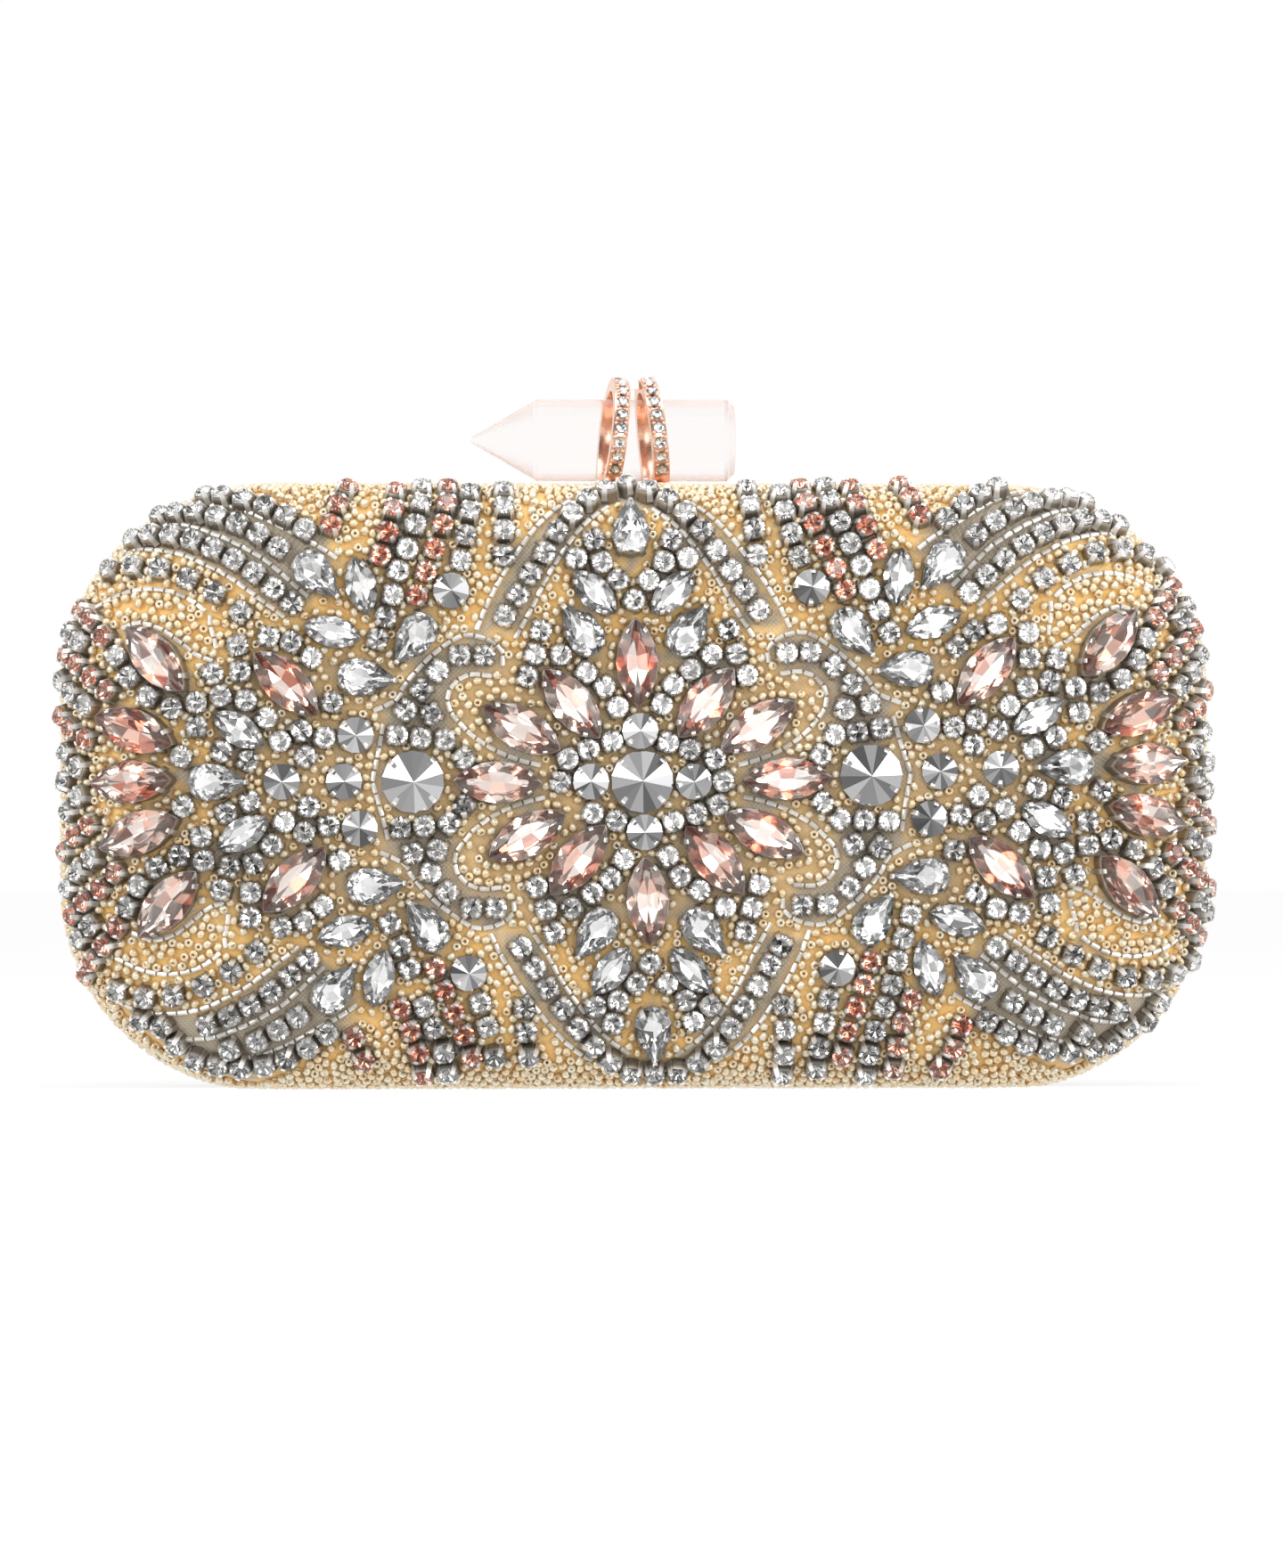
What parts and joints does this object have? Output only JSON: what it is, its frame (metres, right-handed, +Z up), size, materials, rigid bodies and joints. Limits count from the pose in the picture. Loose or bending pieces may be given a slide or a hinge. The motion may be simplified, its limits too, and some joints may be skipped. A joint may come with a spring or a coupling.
{
  "type": "minaudiere",
  "caption": "Hard-case evening clutch covered in seed beads and faceted stones, opening on a bottom hinge and held shut by a lifting ring clasp with a crystal point.",
  "frame": {"origin": "middle of the overall box, on the floor under the standing case", "axes": "+X to the right seen from the jewelled face, +Y from the jewelled face to the back, +Z up"},
  "size_m": [0.2013, 0.0494, 0.1231],
  "materials": {
    "beaded_cloth": "seed beads sewn on grey-beige cloth",
    "case_shell": "moulded hard shell under the cloth",
    "satin_lining": "champagne satin",
    "rose_gold": "polished rose gold plate",
    "steel": "bright steel",
    "rose_crystal": "faceted, foiled back",
    "peach_crystal": "faceted, in a silver cup",
    "clear_crystal": "faceted, foiled back",
    "grey_crystal": "smoky, domed facets",
    "clasp_crystal": "clear polished"
  },
  "bodies": {
    "back_half": {"back_shell": "case_shell", "back_rim": "rose_gold", "back_cover": "beaded_cloth", "back_lining": "satin_lining", "back_hinge_knuckles": "rose_gold", "hinge_pins": "steel", "post_bushings": "steel", "spring_block": "steel", "catch_spring": "steel", "catch_rivets": "steel"},
    "front_half": {"front_cover": "beaded_cloth", "front_shell": "case_shell", "front_lining": "satin_lining", "front_rim": "rose_gold", "front_hinge_knuckles": "rose_gold", "keeper": "steel", "keeper_rivets": "steel", "rose_navettes": "rose_crystal", "clear_pears": "clear_crystal", "clear_navettes": "clear_crystal", "large_rivolis": "grey_crystal", "small_rivolis": "grey_crystal", "chevron_peach_chatons": "peach_crystal", "chevron_clear_chatons": "clear_crystal", "medallion_chatons": "clear_crystal", "stripe_chatons": "clear_crystal", "side_peach_chatons": "peach_crystal", "side_clear_chatons": "clear_crystal"},
    "clasp": {"clasp_ring": "rose_gold", "clasp_foot": "rose_gold", "clasp_posts": "steel", "lift_yoke": "steel", "yoke_screws": "steel", "crystal_point": "clasp_crystal", "ring_stones": "clear_crystal"}
  },
  "joints": [
    {"name": "case_hinge", "type": "hinge", "parent": "back_half", "child": "front_half", "pos_m": [0, 0.00171, 0.0022], "axis": [1, 0, 0], "range_deg": [0, 90], "deforming": ["catch_spring"]},
    {"name": "clasp_lift", "type": "slide", "parent": "back_half", "child": "clasp", "axis": [0, 0, 1], "range_m": [0, 0.002], "stiffness_N_per_m": 600, "deforming": ["catch_spring"]}
  ]
}
